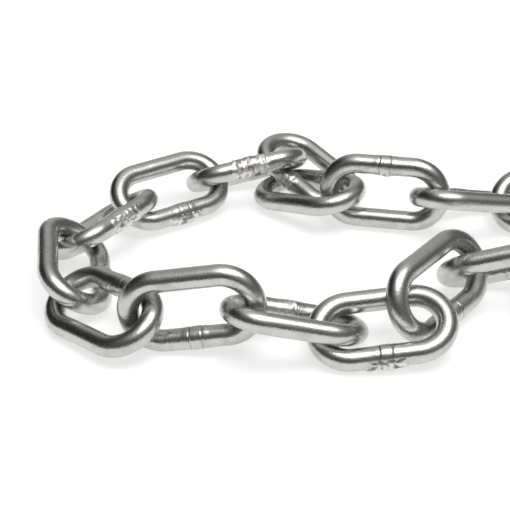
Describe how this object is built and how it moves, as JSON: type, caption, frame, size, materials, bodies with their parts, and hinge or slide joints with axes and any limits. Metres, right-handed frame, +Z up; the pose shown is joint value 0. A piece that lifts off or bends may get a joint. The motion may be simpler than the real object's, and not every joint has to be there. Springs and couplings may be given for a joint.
{
  "type": "welded chain",
  "caption": "Length of welded medium-link steel chain of round wire, laid down loosely in a long open loop on a level floor.",
  "frame": {"origin": "middle of the laid chain's box, on the floor it lies on", "axes": "+Z up from the floor, +X along the length of the loop towards its open end, +Y across the loop away from the picture's viewpoint"},
  "size_m": [0.4074, 0.1608, 0.0346],
  "materials": {
    "bright_steel": "bright drawn stainless steel wire, fine grain along the wire, slightly rough butt welds"
  },
  "bodies": {
    "root": {"link_01": "bright_steel", "link_02": "bright_steel", "link_03": "bright_steel", "link_04": "bright_steel", "link_05": "bright_steel", "link_06": "bright_steel", "link_07": "bright_steel", "link_08": "bright_steel", "link_09": "bright_steel", "link_10": "bright_steel", "link_11": "bright_steel", "link_12": "bright_steel", "link_13": "bright_steel", "link_14": "bright_steel", "link_15": "bright_steel", "link_16": "bright_steel", "link_17": "bright_steel", "link_18": "bright_steel", "link_19": "bright_steel", "link_20": "bright_steel", "link_21": "bright_steel", "link_22": "bright_steel", "link_23": "bright_steel", "link_24": "bright_steel", "link_25": "bright_steel", "link_26": "bright_steel"}
  },
  "joints": []
}
